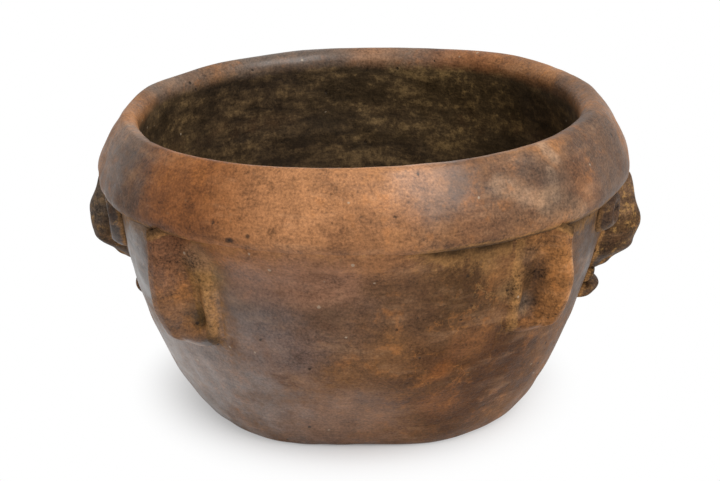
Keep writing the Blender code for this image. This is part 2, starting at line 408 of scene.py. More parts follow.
@dataclass
class BowlWall:
    """The floor and the coil-built wall, rubbed smooth into one skin."""

    form: BowlForm
    segments: int = 384
    outer_rows: int = 96
    inner_rows: int = 56
    hidden_rise: float = 0.0040
    smear: float = 0.0060
    smear_drop: float = 0.0150
    skin: float = 0.0040
    floor_rings: int = 4
    floor_ring: float = 0.0110
    # Reach of the crevice mark, which lays both dust and painted shade
    dust_drop: float = 0.0075
    dust_spread: float = 0.0050
    dust_at_brow: float = 1.25
    dust_at_pieces: float = 0.55
    dust_wiped_off: float = 0.75
    face_radius: float = 0.0940
    eye_radius: float = 0.0960
    nose_half: float = 0.0075
    eye_half: float = 0.0080
    ear_overlap: float = 0.0015
    eye_overlap: float = 0.0010

    def profile(self) -> list[tuple[float, float]]:
        """The wall's section from the edge of the foot, over the top and down to the floor."""
        outer = self.form.outer_curve()
        inner = self.form.inner_curve()
        climb = np.linspace(0.0, 1.0, self.outer_rows) ** 1.35
        descent = np.linspace(1.0, 0.0, self.inner_rows) ** 1.1
        rows = [outer[int(round(share * (len(outer) - 1)))] for share in climb]
        rows += [outer[-1] + (0.0, self.hidden_rise), inner[-1] + (0.0, self.hidden_rise)]
        rows += [inner[int(round(share * (len(inner) - 1)))] for share in descent]
        return [(float(row[0]), float(row[1])) for row in rows]

    def build(self) -> bpy.types.Object:
        """Raise the wall ring by ring from a disc of clay.

        Returns:
            The wall, closed and settled.
        """
        Bench.clear()
        profile = self.profile()
        bpy.ops.mesh.primitive_circle_add(vertices=self.segments, radius=profile[0][0], fill_type="NGON")
        wall = Bench.take("bowl_wall")
        Bench.edit(wall, "EDGE")
        bpy.ops.mesh.region_to_loop()
        for (near, low), (far, high) in zip(profile, profile[1:]):
            bpy.ops.mesh.extrude_edges_move(TRANSFORM_OT_translate={"value": (0.0, 0.0, high - low)})
            bpy.ops.transform.resize(value=(far / near, far / near, 1.0), center_override=CENTRE)
        bpy.ops.mesh.edge_face_add()
        for _ in range(self.floor_rings):
            bpy.ops.mesh.inset(thickness=self.floor_ring)
        Bench.leave()
        Bench.close(wall)
        self.mark(wall)
        Bench.place(wall, self.form.settle(self.smeared(Bench.points(wall))))
        Bench.smooth(wall)
        return wall

    def outside(self, points: np.ndarray) -> np.ndarray:
        """Which points are on the outside of the wall: 1 there and 0 inside."""
        x, y, z = points.T
        return (np.hypot(x, y) > self.form.outer_radius(z) - self.skin).astype(float)

    def pressed_places(self) -> list[tuple[float, float, float]]:
        """The middle angle, the half width and the length of each large piece on the wall."""
        places = []
        for face in FACES:
            places.append((face.middle, self.nose_half, face.nose_length))
            for turn in (side_turn(face, side) for side in Side):
                ear = face.middle + turn * face.ear_turn
                eye = face.middle + turn * face.eye_away / self.eye_radius
                places.append((ear, face.ear_width / 2 - self.ear_overlap, face.ear_length))
                places.append((eye, self.eye_half, face.eye_height - self.eye_overlap))
        return places

    def mark(self, wall: bpy.types.Object) -> None:
        """Mark the sooted inside, the wiped join, and the crevices that hold dust and painted shade."""
        points = Bench.points(wall)
        outside = self.outside(points)
        drop = self.form.brow - points[:, 2]
        wiped = self.form.wiped(points)
        # Under the collar's edge: dust and painted shade, less where the join was wiped
        crevice = (1 - self.dust_wiped_off * wiped) * self.dust_at_brow
        crevice = crevice * np.exp(-np.maximum(drop, 0.0) / self.dust_drop)
        angle = np.arctan2(points[:, 1], points[:, 0])
        for middle, half, length in self.pressed_places():
            turned = np.abs((angle - middle + math.pi) % (2 * math.pi) - math.pi)
            across = np.maximum(turned * self.face_radius - half, 0.0)
            below = np.maximum(drop - length, 0.0)
            # Round the pressed pieces: dust and painted shade
            dust = self.dust_at_pieces * np.exp(-np.hypot(across, below) / self.dust_spread)
            crevice = np.maximum(crevice, dust)
        Bench.mark(wall, "crevice", crevice * outside)
        Bench.mark(wall, "inside", 1 - outside)
        climb = eased(((0.0, 1.0), (self.smear_drop, 0.0)), drop)
        Bench.mark(wall, "proud", outside * climb * wiped)

    def smeared(self, points: np.ndarray) -> np.ndarray:
        """Draw clay up from the wall to the collar where the join was wiped smooth."""
        x, y, z = points.T
        radius = np.hypot(x, y)
        climb = eased(((self.form.brow - self.smear_drop, 0.0), (self.form.wall_top, 1.0)), z)
        push = self.smear * self.form.wiped(points) * climb * self.outside(points)
        out = 1 + push / np.maximum(radius, 1e-9)
        return np.stack([x * out, y * out, z], axis=1)


@dataclass
class Collar:
    """The thick coil laid over the wall: a band that leans in, with a round lip and an overhanging roll."""

    form: BowlForm
    segments: int = 128
    roll: float = 0.0050
    belly: float = 0.0060
    lip_reach: float = 0.0058
    lip_drop: float = 0.0052
    lip_curve: float = 0.0030
    skirt: float = 0.0180
    skirt_curve: float = 0.0060
    feather: float = 0.00008
    mouth_shift: float = -0.0016

    @property
    def crest_radius(self) -> float:
        """Radius of the lip's highest line."""
        return self.form.mouth_radius + self.lip_reach

    def section(self) -> np.ndarray:
        """The collar's closed outline as (radius, height) rows."""
        form = self.form
        inside = form.shoulder_radius - form.wall
        mouth = Vector((form.mouth_radius, form.height - self.lip_drop))
        crest = Vector((self.crest_radius, form.height))
        widest = Vector((form.collar_radius, form.brow + self.roll))
        under = Vector((form.shoulder_radius + 0.4 * form.overhang, form.brow))
        rise = Vector((0.0, 1.0))
        low = form.wall_top - self.skirt
        heights = np.array((low, low + 0.003, low + 0.007, form.wall_top - self.skirt_curve))
        sunk = np.array((0.0005, 0.0, -self.feather, -self.feather))
        skirt = np.stack([form.inner_radius(heights) + sunk, heights], axis=1)
        start = Vector(skirt[-1])
        face = np.vstack([skirt[:-1], bezier(start, start + rise * 0.009, mouth - rise * 0.008, mouth, 10)])
        lip = bezier(mouth, mouth + rise * 0.0029, crest - Vector((0.0032, 0.0)), crest, 7)
        leave = crest + Vector((self.lip_curve, 0.0))
        band = bezier(crest, leave, widest + rise * self.belly, widest, 15)
        roll = bezier(widest, widest - rise * 0.0028, under + Vector((0.0024, 0.0)), under, 7)
        seat = np.array([(form.shoulder_radius - 0.003, form.brow + 0.0012), (inside + 0.004, low + 0.002)])
        return np.vstack([face, lip[1:], band[1:], roll[1:], seat])

    def build(self) -> bpy.types.Object:
        """Spin the section round the bowl.

        Returns:
            The collar, closed and settled.
        """
        Bench.clear()
        section = self.section()
        bpy.ops.mesh.primitive_circle_add(vertices=len(section), radius=0.01, fill_type="NOTHING")
        collar = Bench.take("bowl_collar")
        flat = np.zeros((len(section), 3))
        flat[:, 0] = section[:, 0]
        flat[:, 2] = section[:, 1]
        Bench.place(collar, flat)
        Bench.edit(collar)
        bpy.ops.mesh.spin(steps=self.segments, angle=2 * math.pi, center=CENTRE, axis=(0.0, 0.0, 1.0))
        Bench.leave()
        Bench.close(collar)
        Bench.refine(collar, 1)
        self.mark(collar)
        points = self.form.settle(Bench.points(collar))
        x, y, z = points.T
        crest = self.crest_radius
        inward = eased(((crest - 0.003, 1.0), (crest + 0.004, 0.0)), np.hypot(x, y))
        low = self.form.wall_top - self.skirt_curve
        rise = eased(((low, 0.0), (self.form.height - self.lip_drop, 1.0)), z)
        points[:, 0] += self.mouth_shift * rise * inward
        Bench.place(collar, points)
        Bench.smooth(collar)
        return collar

    def mark(self, collar: bpy.types.Object) -> None:
        """Mark the sooted inside and the underside, which holds dust and painted shade."""
        form = self.form
        points = Bench.points(collar)
        radius = np.hypot(points[:, 0], points[:, 1])
        z = points[:, 2]
        inner = eased(((form.mouth_radius, 1.0), (self.crest_radius, 0.0)), radius)
        deep = eased(((form.height - 0.0130, 1.0), (form.height - 0.0015, 0.0)), z)
        Bench.mark(collar, "inside", inner * deep)
        # The underside of the roll: dust and painted shade, less where the join was wiped
        low = eased(((form.brow + 0.0005, 1.0), (form.brow + 0.0050, 0.0)), z)
        open_join = 1 - 0.9 * form.wiped(points)
        Bench.mark(collar, "crevice", low * open_join * (radius > form.shoulder_radius))


@dataclass
class PressedPiece:
    """A lump of clay modelled flat on the board, then pressed on the wall.

    On the board x runs across, y runs down from the collar's lower edge, and z is the stand off the wall.
    """

    form: BowlForm
    face: FacePlace
    root: float = -0.0022
    edge: float = 0.0006
    proud_stand: float = 0.0030
    dust_stand: float = 0.0032
    uneven_stand: float = 0.0040

    def press(self, piece: bpy.types.Object, middle: float, turn: int) -> None:
        """Wrap a flat piece round the wall and settle it.

        Args:
            piece: the flat piece.
            middle: the angle about the bowl that the board's x = 0 goes to.
            turn: 1 or -1, the sense in which the board's x runs about the bowl.
        """
        x, y, z = Bench.points(piece).T
        Bench.mark(piece, "proud", z / self.proud_stand)
        if "crevice" not in piece.data.attributes:
            Bench.mark(piece, "crevice", self.dusty(z))
        height = self.form.brow - y
        radius = self.form.outer_radius(np.clip(height, 0.0, self.form.wall_top))
        angle = middle + turn * x / radius
        out = radius + z
        wrapped = np.stack([out * np.cos(angle), out * np.sin(angle), height], axis=1)
        Bench.place(piece, self.form.settle(wrapped))
        Bench.close(piece)
        Bench.smooth(piece)

    def dusty(self, stand: np.ndarray) -> np.ndarray:
        """How much dust and painted shade lies at each stand off the wall: most in the corner."""
        return 0.95 - stand / self.dust_stand

    def uneven(self, points: np.ndarray, depth: float, size: float, seed: int) -> np.ndarray:
        """How far a hand left the board's points off the plain form, fading out towards the wall."""
        return depth * lumps(points, size, seed) * np.clip(points[:, 2] / self.uneven_stand, 0.0, 1.0)

    def board(
        self, name: str, columns: int, rows: int
    ) -> tuple[bpy.types.Object, np.ndarray, np.ndarray]:
        """A flat sheet from -1 to 1 to shape.

        Args:
            name: the piece's name.
            columns: faces across.
            rows: faces down.

        Returns:
            The sheet, and its places across and down.
        """
        Bench.clear()
        bpy.ops.mesh.primitive_grid_add(x_subdivisions=columns, y_subdivisions=rows, size=2.0)
        sheet = Bench.take(name)
        u, v, _ = Bench.points(sheet).T
        return sheet, u, -v

    def root_edges(self, piece: bpy.types.Object) -> None:
        """Turn the sheet's rim down into the wall with a round edge, and round the whole."""
        Bench.edit(piece, "EDGE")
        bpy.ops.mesh.region_to_loop()
        for _ in range(2):
            bpy.ops.mesh.extrude_edges_move(TRANSFORM_OT_translate={"value": (0.0, 0.0, -self.edge)})
        bpy.ops.transform.resize(value=(1.0, 1.0, 0.0), center_override=(0.0, 0.0, self.root))
        Bench.leave()
        Bench.refine(piece, 1)


@dataclass
class Ear(PressedPiece):
    """A cupped lug under the collar: a high flange towards the nose, a hollow and a low ridge behind."""

    side: Side = Side.FRONT
    top_stand: float = 0.0080
    flange: float = 0.0112
    hollow: float = 0.0010
    roundness: float = 0.55
    tuck: float = 0.0046
    seed: int = 1

    def build(self) -> bpy.types.Object:
        """Model the ear on the board and press it on.

        Returns:
            The ear, closed and settled.
        """
        sheet, u, v = self.board(f"{self.face.name}_{self.side.value}_ear_lug", 32, 40)
        length = self.face.ear_length + self.tuck
        across = u * np.sqrt(1 - self.roundness * np.maximum(v, 0.0) ** 2 / 2)
        low = v * np.sqrt(1 - self.roundness * u**2 / 2)
        lower = np.clip((v + 1) / 2, 0.0, 1.0)
        down = length * (lower * (1 + low) / 2 + (1 - lower) * (1 + v) / 2)
        down = down + self.face.ear_skew * (u + 1) / 2 * lower**2
        flange = eased(((-1.0, self.top_stand), (0.25, self.flange), (1.0, 0.80 * self.flange)), v)
        ridge = self.face.ear_ridge * eased(((-1.0, 0.0), (-0.25, 0.30), (0.30, 1.0), (1.0, 1.0)), v)
        hollow = eased(((-1.0, 2.8 * self.hollow), (0.10, self.hollow), (0.50, 0.5 * self.hollow)), v)
        behind = eased(((-1.0, 0.0), (-0.68, 1.0)), u)
        dish = eased(((-0.60, 0.0), (-0.24, 1.0)), u)
        climb = eased(((0.02, 0.0), (0.62, 1.0)), u) ** 1.2
        stand = behind * ridge + dish * (hollow - ridge) + climb * (flange - hollow)
        rim = behind * (ridge + (0.80 * flange - ridge) * eased(((-0.8, 0.0), (0.7, 1.0)), u))
        stand = stand + eased(((0.48, 0.0), (0.82, 1.0)), v) * np.maximum(rim - stand, 0.0)
        stand = stand - 0.0014 * eased(((0.86, 0.0), (1.0, 1.0)), u)
        end = eased(((0.84, 1.0), (1.0, 0.0)), v)
        stand = stand * (0.45 + 0.55 * end)
        tuck = self.tuck * eased(((0.15, 1.0), (0.95, 0.10)), u)
        down = down - self.tuck * lower - tuck * (1 - lower)
        points = np.stack([across * self.face.ear_width / 2, down, stand], axis=1)
        points[:, 2] += self.uneven(points, 0.00025, 0.007, self.seed)
        # Crevice mark: dust and painted shade in the hollow, along the ridge and in the crack under the
        # collar
        pocket = eased(((-0.80, 0.1), (-0.50, 1.0), (-0.15, 0.9), (0.20, 0.0)), u)
        pocket = pocket * eased(((-0.7, 0.35), (0.10, 0.80), (0.48, 1.0), (0.80, 0.0)), v)
        crest = eased(((-1.00, 0.2), (-0.75, 1.0), (-0.55, 1.0), (-0.42, 0.0)), u)
        crack = eased(((-1.0, 1.0), (-0.90, 0.8), (-0.78, 0.0)), v)
        Bench.mark(sheet, "crevice", np.maximum.reduce([0.78 * pocket, 0.62 * crest, crack]))
        # A lighter line along the flange's edge: wear and a painted highlight
        edge = eased(((0.55, 0.0), (0.92, 1.0)), u) * eased(((-0.9, 0.0), (-0.6, 1.0)), v)
        Bench.mark(sheet, "worn", edge)
        Bench.place(sheet, points)
        self.root_edges(sheet)
        turn = side_turn(self.face, self.side)
        self.press(sheet, self.face.middle + turn * self.face.ear_turn, -turn)
        return sheet


@dataclass
class Nose(PressedPiece):
    """A wedge from the collar to the mouth: a straight ridge, a round tip and wide wings."""

    root_stand: float = 0.0096
    root_width: float = 0.0130
    wing_width: float = 0.0260
    nostril: float = 0.0024
    tuck: float = 0.0024
    top_ease: float = 0.0026

    def build(self) -> bpy.types.Object:
        """Model the nose on the board and press it on.

        Returns:
            The nose, closed and settled.
        """
        sheet, u, v = self.board(f"{self.face.name}_nose_wedge", 28, 44)
        down = (self.face.nose_length + self.tuck) * (v + 1) / 2 - self.tuck
        share = np.clip(down / self.face.nose_length, 0.0, 1.0)
        tip = self.face.nose_stand
        ridge = eased(((0.0, 0.0), (0.56, 1.0)), share) * (tip - self.root_stand) + self.root_stand
        straight = self.root_stand + (tip - self.root_stand) * np.clip(share / 0.54, 0.0, 1.0)
        ridge = 0.35 * ridge + 0.65 * straight
        ridge = ridge - self.top_ease * eased(((-self.tuck, 1.0), (0.0040, 0.0)), down)
        under = eased(((0.58, 1.0), (0.71, 0.95), (0.91, 0.54), (1.0, 0.0)), share)
        narrow, wide = self.root_width, self.wing_width
        half = eased(((0.0, narrow / 2), (0.72, wide / 2), (1.0, narrow / 2.4)), share)
        section = (1 - np.abs(u) ** 1.7) ** 0.86
        stand = ridge * under * section - 0.0005
        nostril = np.exp(-(((np.abs(u) - 0.42) / 0.17) ** 2) - ((share - 0.87) / 0.055) ** 2)
        stand = stand - self.nostril * nostril
        # Dust and painted shade at the root and in the nostrils
        Bench.mark(sheet, "crevice", np.maximum(self.dusty(stand), nostril))
        points = np.stack([u * half, down, stand], axis=1)
        points[:, 2] += self.uneven(points, 0.0005, 0.007, 20 + self.face.front)
        Bench.place(sheet, points)
        self.root_edges(sheet)
        self.press(sheet, self.face.middle, 1)
        return sheet


@dataclass
class Eye(PressedPiece):
    """An oval pellet under the collar, dished by a fingertip so that a lid stands all round."""

    side: Side = Side.FRONT
    width: float = 0.0180
    stand: float = 0.0056
    dish: float = 0.0026
    sunk: float = 0.0004

    def build(self) -> bpy.types.Object:
        """Raise the lid from a disc by insets, dish it and press it on.

        Returns:
            The eye, closed and settled.
        """
        Bench.clear()
        bpy.ops.mesh.primitive_circle_add(vertices=40, radius=1.0, fill_type="NGON")
        pellet = Bench.take(f"{self.face.name}_{self.side.value}_eye_pellet")
        oval = np.array((self.width / 2, self.face.eye_height / 2, 1.0))
        Bench.place(pellet, Bench.points(pellet) * oval + self.offset())
        Bench.edit(pellet, "FACE")
        lid = self.stand + self.sunk
        for thickness, share in ((0.0008, 0.36), (0.0010, 0.30), (0.0011, 0.22), (0.0011, 0.12)):
            bpy.ops.mesh.inset(thickness=thickness, depth=share * lid)
        for thickness, share in ((0.0009, 0.12), (0.0010, 0.48), (0.0011, 0.30), (0.0011, 0.10)):
            bpy.ops.mesh.inset(thickness=thickness, depth=-share * self.dish)
        Bench.leave()
        Bench.edit(pellet, "EDGE")
        bpy.ops.mesh.region_to_loop()
        bpy.ops.mesh.extrude_edges_move(TRANSFORM_OT_translate={"value": (0.0, 0.0, self.root)})
        Bench.leave()
        Bench.refine(pellet, 2)
        points = Bench.points(pellet)
        points[:, 2] += 0.0004 * lumps(points, 0.005, 50 + self.face.front)
        Bench.place(pellet, points)
        self.press(pellet, self.face.middle, side_turn(self.face, self.side))
        return pellet

    def offset(self) -> np.ndarray:
        """Where the pellet's middle lies on the board."""
        return np.array((self.face.eye_away, self.face.eye_height / 2 - 0.0006, -self.sunk))


@dataclass
class Lip(PressedPiece):
    """One lip: a short roll across the face, a little thinner towards its blunt ends."""

    name: str = "upper"
    width: float = 0.0265
    tall: float = 0.0042
    stand: float = 0.0052
    drop: float = 0.0422
    droop: float = 0.0012

    def build(self) -> bpy.types.Object:
        """Model the lip as a tapered roll and press it on.

        Returns:
            The lip, closed and settled.
        """
        Bench.clear()
        bpy.ops.mesh.primitive_uv_sphere_add(segments=40, ring_count=24, radius=1.0)
        roll = Bench.take(f"{self.face.name}_{self.name}_lip_roll")
        Bench.edit(roll)
        bpy.ops.transform.rotate(value=math.pi / 2, orient_axis="Y", center_override=CENTRE)
        Bench.leave()
        x, y, z = Bench.points(roll).T
        away = np.abs(x)
        fuller = np.sqrt((1 - away**5) / np.maximum(1 - x**2, 1e-6))
        taper = (1 - 0.30 * away**2.2) * np.where(away < 0.9999, fuller, 1.0)
        thick = np.where(z > 0, self.stand * taper, -self.root)
        down = self.drop + y * self.tall / 2 * taper + self.droop * x**2
        points = np.stack([x * self.width / 2, down, z * thick], axis=1)
        points[:, 2] += 0.0004 * lumps(points, 0.005, 70 + self.face.front) * (z > 0)
        Bench.place(roll, points)
        Bench.refine(roll, 1)
        self.press(roll, self.face.middle, 1)
        return roll


class Wire:
    """A shader socket that takes part in Python expressions."""

    def __init__(self, graph: Graph, socket: bpy.types.NodeSocket) -> None:
        """Keep the graph that the socket belongs to."""
        self.graph = graph
        self.socket = socket

    def math(self, operation: str, *others: Wire | float) -> Wire:
        """A Math node on this value and the others."""
        return self.graph.node("ShaderNodeMath", {"operation": operation}, self, *others)

    def __add__(self, other: Wire | float) -> Wire:
        """This value plus another."""
        return self.math("ADD", other)

    def __sub__(self, other: Wire | float) -> Wire:
        """This value less another."""
        return self.math("SUBTRACT", other)

    def __rsub__(self, other: float) -> Wire:
        """A number less this value."""
        return self.graph.node("ShaderNodeMath", {"operation": "SUBTRACT"}, other, self)

    def __mul__(self, other: Wire | float) -> Wire:
        """This value times another."""
        return self.math("MULTIPLY", other)

    __radd__ = __add__
    __rmul__ = __mul__

    def clamp(self) -> Wire:
        """This value kept from 0 to 1."""
        return self.graph.node("ShaderNodeClamp", {}, self)

    def between(self, low: float, high: float, most: float = 1.0) -> Wire:
        """0 at low, most at high and eased between them; low may be the larger."""
        settings = {"interpolation_type": "SMOOTHSTEP", "clamp": True}
        if low < high:
            return self.graph.node("ShaderNodeMapRange", settings, self, low, high, 0.0, most)
        return self.graph.node("ShaderNodeMapRange", settings, self, high, low, most, 0.0)


class Graph:
    """The node graph of one material or of the world."""

    def __init__(self, tree: bpy.types.NodeTree) -> None:
        """Start from an empty tree."""
        self.tree = tree
        tree.nodes.clear()

    def node(
        self, kind: str, settings: dict[str, Any], *values: Any, out: int | str = 0, **named: Any
    ) -> Wire:
        """Add any node.

        Args:
            kind: the node's type.
            settings: its properties, set before its sockets.
            values: values or wires for its sockets, in order; None leaves a socket alone.
            out: the output that is wanted.
            named: values or wires for sockets by name, with _ for a space.

        Returns:
            The wanted output.
        """
        node = self.tree.nodes.new(kind)
        for key, value in settings.items():
            setattr(node, key, value)
        pairs = list(zip(node.inputs, values))
        pairs += [(node.inputs[key.replace("_", " ")], value) for key, value in named.items()]
        for socket, value in pairs:
            if isinstance(value, Wire):
                self.tree.links.new(value.socket, socket)
            elif value is not None:
                socket.default_value = (*value, 1.0) if socket.type == "RGBA" else value
        return Wire(self, node.outputs[out])

    def vector(self, operation: str, *values: Any, out: int | str = 0, **named: Any) -> Wire:
        """A Vector Math node on wires or vectors."""
        return self.node("ShaderNodeVectorMath", {"operation": operation}, *values, out=out, **named)

    def seen(self) -> Wire:
        """1 for what a viewer, a mirror or a glass shows, and 0 for the light that falls on things."""
        kinds = ("Camera", "Glossy", "Transmission")
        rays = [self.node("ShaderNodeLightPath", {}, out=f"Is {kind} Ray") for kind in kinds]
        return (rays[0] + rays[1] + rays[2]).clamp()

    def finish(self, shader: Wire, output: str = "ShaderNodeOutputMaterial") -> None:
        """Join the shader to the tree's output."""
        self.tree.links.new(shader.socket, self.tree.nodes.new(output).inputs["Surface"])

    def noise(self, where: Wire, size: float, detail: float, rough: float) -> Wire:
        """Noise with lumps of about the given size in metres."""
        return self.node("ShaderNodeTexNoise", {}, where, None, 1.0 / size, detail, rough)

    def mix(self, share: Wire, first: Wire | Colour, second: Wire | Colour) -> Wire:
        """One colour going over to another."""
        unused = (None,) * 5
        return self.node("ShaderNodeMix", {"data_type": "RGBA"}, share, *unused, first, second, out=2)

    def layers(self, base: Wire | Colour, *coats: tuple[Wire, Wire | Colour]) -> Wire:
        """Colours laid over a base, one after another.

        Args:
            base: the lowest colour.
            coats: the share and the colour of each coat.

        Returns:
            The colour on top.
        """
        for share, colour in coats:
            base = self.mix(share, base, colour)
        return base


@dataclass(frozen=True)
class Tones:
    """The colours that a lump of clay took in the fire."""

    body: Colour
    warm: Colour
    smoke: Colour


WALL_TONES = Tones((0.135, 0.066, 0.031), (0.190, 0.086, 0.032), (0.050, 0.030, 0.016))
COLLAR_TONES = Tones((0.250, 0.116, 0.050), (0.340, 0.148, 0.052), (0.105, 0.054, 0.027))
FACE_TONES = Tones((0.058, 0.029, 0.012), (0.095, 0.048, 0.017), (0.020, 0.012, 0.007))
EAR_TONES = Tones((0.190, 0.080, 0.029), (0.280, 0.118, 0.036), (0.062, 0.034, 0.016))


@dataclass(frozen=True)
class Patch:
    """A place where fire, smoke, rubbing or dust has coloured the clay, or a place of painted shade and
    sheen; with an end it is a streak.
    """

    middle: Place
    size: float
    colour: Colour
    strength: float
    end: Place | None = None


# Fire clouds, smears, rubbed places, painted sheen and reflection on the left, and darker ends of the
# collar, each laid over the ones before it
PATCHES = (
    Patch((-0.06, -0.082, 0.11), 0.036, (0.195, 0.066, 0.02), 0.85),
    Patch((-0.034, -0.094, 0.108), 0.022, (0.31, 0.122, 0.042), 0.6),
    Patch((-0.006, -0.1, 0.111), 0.04, (0.4, 0.18, 0.076), 0.75),
    Patch((0.022, -0.094, 0.118), 0.024, (0.42, 0.21, 0.108), 0.65),
    Patch((0.044, -0.088, 0.112), 0.029, (0.104, 0.057, 0.034), 0.85),
    Patch((0.004, -0.103, 0.099), 0.022, (0.215, 0.092, 0.037), 0.65),
    Patch((0.038, -0.094, 0.098), 0.016, (0.165, 0.072, 0.03), 0.65),
    Patch((0.028, -0.098, 0.106), 0.013, (0.15, 0.078, 0.042), 0.5),
    # Darker at the collar's right end
    Patch((0.086, -0.048, 0.112), 0.044, (0.088, 0.054, 0.036), 0.88),
    Patch((-0.088, -0.046, 0.07), 0.03, (0.06, 0.045, 0.037), 0.8),
    Patch((0.088, -0.038, 0.066), 0.026, (0.068, 0.042, 0.028), 0.8),
    Patch((0.062, -0.077, 0.118), 0.012, (0.09, 0.056, 0.038), 0.7),
    Patch((0.081, -0.066, 0.111), 0.013, (0.2, 0.084, 0.034), 0.55),
    Patch((0.048, -0.0864, 0.1161), 0.005, (0.34, 0.212, 0.13), 0.44, (0.0654, -0.0807, 0.1083)),
    Patch((0.0654, -0.0807, 0.1083), 0.0054, (0.31, 0.186, 0.106), 0.42, (0.0788, -0.0716, 0.1016)),
    Patch((0.0673, -0.0741, 0.1174), 0.0026, (0.34, 0.222, 0.142), 0.38, (0.0698, -0.0773, 0.1086)),
    Patch((0.0647, -0.0688, 0.1248), 0.004, (0.37, 0.247, 0.16), 0.52, (0.0682, -0.0703, 0.1213)),
    Patch((0.098, 0.01, 0.112), 0.042, (0.13, 0.074, 0.043), 0.7),
    # Pale painted reflection on the collar's left edge
    Patch((-0.086, -0.039, 0.119), 0.022, (0.275, 0.205, 0.158), 0.6),
    # Darker at the lower left end of the collar
    Patch((-0.09, -0.052, 0.103), 0.032, (0.082, 0.05, 0.033), 0.85),
    Patch((0.004, 0.088, 0.122), 0.055, (0.093, 0.08, 0.069), 0.92),
    Patch((-0.046, 0.076, 0.121), 0.036, (0.112, 0.09, 0.073), 0.85),
    Patch((-0.079, 0.044, 0.12), 0.034, (0.12, 0.092, 0.072), 0.8),
    Patch((0.018, -0.094, 0.074), 0.022, (0.088, 0.047, 0.027), 0.6),
    Patch((-0.014, -0.093, 0.07), 0.03, (0.122, 0.072, 0.05), 0.6),
    Patch((-0.038, -0.088, 0.071), 0.016, (0.105, 0.078, 0.066), 0.6),
    Patch((-0.038, -0.09, 0.0835), 0.014, (0.27, 0.13, 0.074), 0.65, (-0.008, -0.0975, 0.085)),
    # Pale grey painted sheen on the lower left wall
    Patch((-0.0285, -0.0852, 0.051), 0.022, (0.185, 0.125, 0.105), 0.6),
    Patch((-0.0193, -0.0662, 0.0135), 0.02, (0.215, 0.14, 0.105), 0.5),
    # Broad pale grey painted sheen low on the left wall
    Patch((-0.054, -0.062, 0.036), 0.036, (0.205, 0.148, 0.122), 0.75),
    Patch((0.002, -0.072, 0.02), 0.03, (0.245, 0.13, 0.076), 0.72),
    Patch((0.044, -0.07, 0.036), 0.045, (0.07, 0.025, 0.006), 0.92),
    Patch((0.038, -0.087, 0.079), 0.022, (0.058, 0.027, 0.009), 0.85),
    Patch((0.048, -0.085, 0.086), 0.006, (0.28, 0.15, 0.054), 0.6),
    Patch((0.031, -0.081, 0.044), 0.007, (0.33, 0.11, 0.026), 0.45),
    Patch((0.03, -0.072, 0.0265), 0.013, (0.25, 0.1, 0.036), 0.55),
    Patch((0.041, -0.0819, 0.0563), 0.012, (0.24, 0.098, 0.034), 0.6),
    Patch((0.0507, -0.0822, 0.084), 0.01, (0.26, 0.115, 0.04), 0.6),
    Patch((0.0189, -0.1008, 0.1094), 0.009, (0.19, 0.08, 0.034), 0.45),
    Patch((0.039, -0.0957, 0.1082), 0.011, (0.145, 0.066, 0.032), 0.6),
    Patch((0.0415, -0.085, 0.0675), 0.01, (0.085, 0.042, 0.018), 0.5),
    Patch((0.0705, -0.076, 0.11), 0.011, (0.08, 0.05, 0.034), 0.55),
    Patch((-0.069, -0.079, 0.082), 0.016, (0.19, 0.088, 0.047), 0.65),
    Patch((-0.053, -0.082, 0.081), 0.011, (0.26, 0.15, 0.05), 0.65),
    Patch((0.055, -0.08, 0.074), 0.007, (0.27, 0.15, 0.062), 0.55),
    Patch((0.05, 0.086, 0.108), 0.036, (0.25, 0.09, 0.028), 0.7),
    Patch((-0.036, 0.096, 0.11), 0.03, (0.11, 0.064, 0.038), 0.7),
    Patch((0.006, 0.097, 0.112), 0.026, (0.38, 0.18, 0.082), 0.6),
    Patch((0.028, 0.088, 0.062), 0.03, (0.08, 0.046, 0.028), 0.6),
    Patch((-0.03, 0.08, 0.046), 0.036, (0.21, 0.086, 0.03), 0.6),
    Patch((-0.07, 0.06, 0.07), 0.026, (0.165, 0.112, 0.086), 0.55),
    Patch((0.078, 0.04, 0.05), 0.028, (0.092, 0.044, 0.019), 0.65),
)
